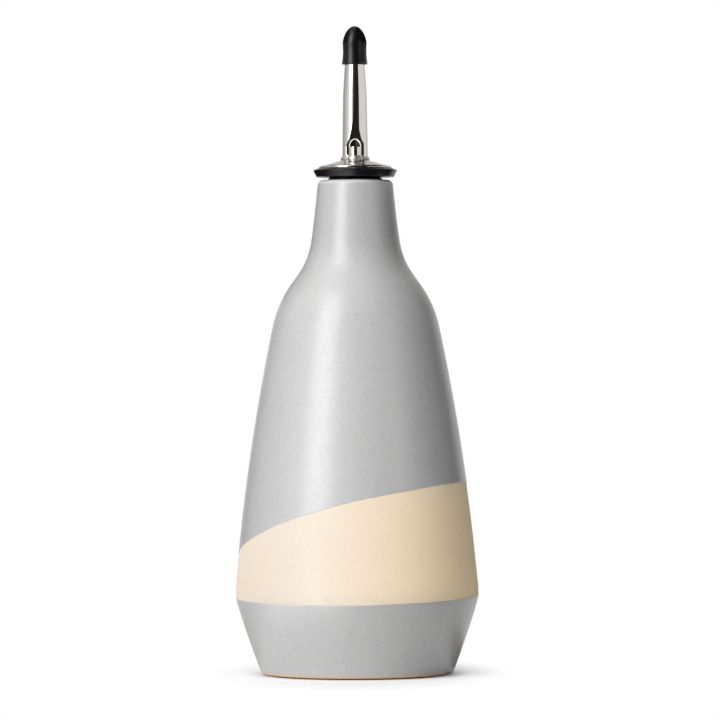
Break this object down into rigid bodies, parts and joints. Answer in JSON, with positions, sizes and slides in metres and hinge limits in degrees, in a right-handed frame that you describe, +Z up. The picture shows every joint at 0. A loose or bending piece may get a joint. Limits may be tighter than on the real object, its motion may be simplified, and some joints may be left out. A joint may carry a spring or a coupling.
{
  "type": "oil dispenser bottle",
  "caption": "Tapered glazed stoneware oil bottle with a bare clay band, a finned silicone stopper, a steel pouring spout with an air vent, and a rubber tip cap.",
  "frame": {"origin": "middle of the foot ring, on the surface that the bottle stands on", "axes": "+Z up along the bottle's axis, -Y towards the front, where the air vent's slanted mouth opens"},
  "size_m": [0.0921, 0.0922, 0.2459],
  "materials": {
    "glazed_stoneware": "satin grey glaze over a cream stoneware body that is left bare in one slanted band and at the foot",
    "silicone": "satin black moulded silicone",
    "polished_steel": "polished stainless steel",
    "cap_rubber": "satin black moulded rubber"
  },
  "bodies": {
    "bottle": {"bottle": "glazed_stoneware"},
    "stopper": {"stopper": "silicone"},
    "pourer": {"dome_plate": "polished_steel", "spout_tube": "polished_steel", "spout_collar": "polished_steel", "vent_tube": "polished_steel", "vent_collar": "polished_steel"},
    "tip_cap": {"tip_cap": "cap_rubber"}
  },
  "joints": [
    {"name": "stopper_pull", "type": "slide", "parent": "bottle", "child": "stopper", "axis": [0, 0, 1], "range_m": [0, 0.036]},
    {"name": "pourer_pull", "type": "slide", "parent": "stopper", "child": "pourer", "axis": [0, 0, 1], "range_m": [0, 0.036]},
    {"name": "cap_pull", "type": "slide", "parent": "pourer", "child": "tip_cap", "axis": [0, 0, 1], "range_m": [0, 0.014]}
  ]
}
